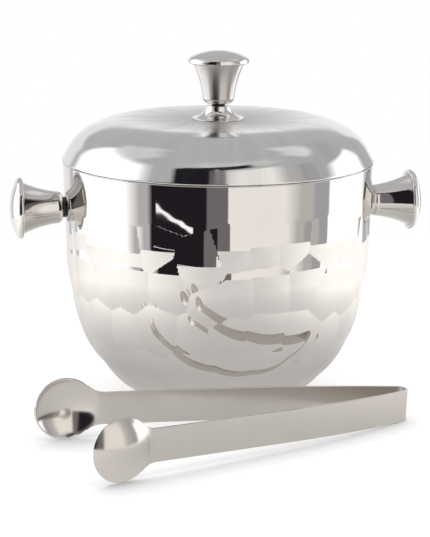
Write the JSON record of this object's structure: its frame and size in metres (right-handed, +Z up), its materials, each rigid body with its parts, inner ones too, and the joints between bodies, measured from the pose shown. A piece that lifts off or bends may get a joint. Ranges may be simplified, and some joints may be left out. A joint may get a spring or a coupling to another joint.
{
  "type": "ice bucket",
  "caption": "Double-walled steel ice bucket with a rounded base, domed lift-off lid, flared lid and side knobs, and spring tongs beside it.",
  "frame": {"origin": "centre of the bucket's flat base, on the surface it stands on", "axes": "+Z up through the lid knob; the two side knobs lie along X; the tongs lie on the floor on the -Y side, which is the front"},
  "size_m": [0.2424, 0.2671, 0.2014],
  "materials": {
    "mirror_steel": "mirror polished stainless steel",
    "satin_steel": "satin spun stainless steel",
    "fastener_steel": "plain zinc-plated steel",
    "black_nylon": "black moulded nylon",
    "foam": "closed-cell foam"
  },
  "bodies": {
    "bucket": {"outer_shell": "mirror_steel", "inner_liner": "satin_steel", "insulation_pad": "foam", "left_knob_body": "mirror_steel", "left_knob_cap": "mirror_steel", "left_knob_spacer": "black_nylon", "left_knob_stud": "fastener_steel", "left_knob_washer": "fastener_steel", "left_knob_nut": "fastener_steel", "right_knob_body": "mirror_steel", "right_knob_cap": "mirror_steel", "right_knob_spacer": "black_nylon", "right_knob_stud": "fastener_steel", "right_knob_washer": "fastener_steel", "right_knob_nut": "fastener_steel"},
    "lid": {"lid_cover": "mirror_steel", "lid_liner": "satin_steel", "lid_knob_collar": "mirror_steel", "lid_knob_body": "mirror_steel", "lid_knob_cap": "mirror_steel", "lid_knob_spacer": "black_nylon", "lid_knob_stud": "fastener_steel", "lid_knob_washer": "fastener_steel", "lid_knob_nut": "fastener_steel"},
    "tongs_bend": {"tongs_bow": "mirror_steel"},
    "tongs_front": {"tongs_front_arm": "mirror_steel"},
    "tongs_back": {"tongs_back_arm": "mirror_steel"}
  },
  "joints": [
    {"name": "lid_lift", "type": "slide", "parent": "bucket", "child": "lid", "axis": [0, 0, 1], "range_m": [0, 0.12]},
    {"name": "tongs_lift", "type": "slide", "parent": "bucket", "child": "tongs_bend", "axis": [0, -0.6, 0.8], "range_m": [0, 0.12]},
    {"name": "front_arm_squeeze", "type": "hinge", "parent": "tongs_bend", "child": "tongs_front", "pos_m": [0.09274, -0.08294, 0.00919], "axis": [-0.0426, -0.0122, -0.999], "range_deg": [0, 11.6], "stiffness_Nm_per_rad": 4},
    {"name": "back_arm_squeeze", "type": "hinge", "parent": "tongs_bend", "child": "tongs_back", "pos_m": [0.09032, -0.0745, 0.00919], "axis": [0.0426, 0.0122, 0.999], "range_deg": [0, 11.6], "stiffness_Nm_per_rad": 4}
  ],
  "couplings": [
    {"joint": "back_arm_squeeze", "follows": "front_arm_squeeze", "ratio": 1}
  ]
}
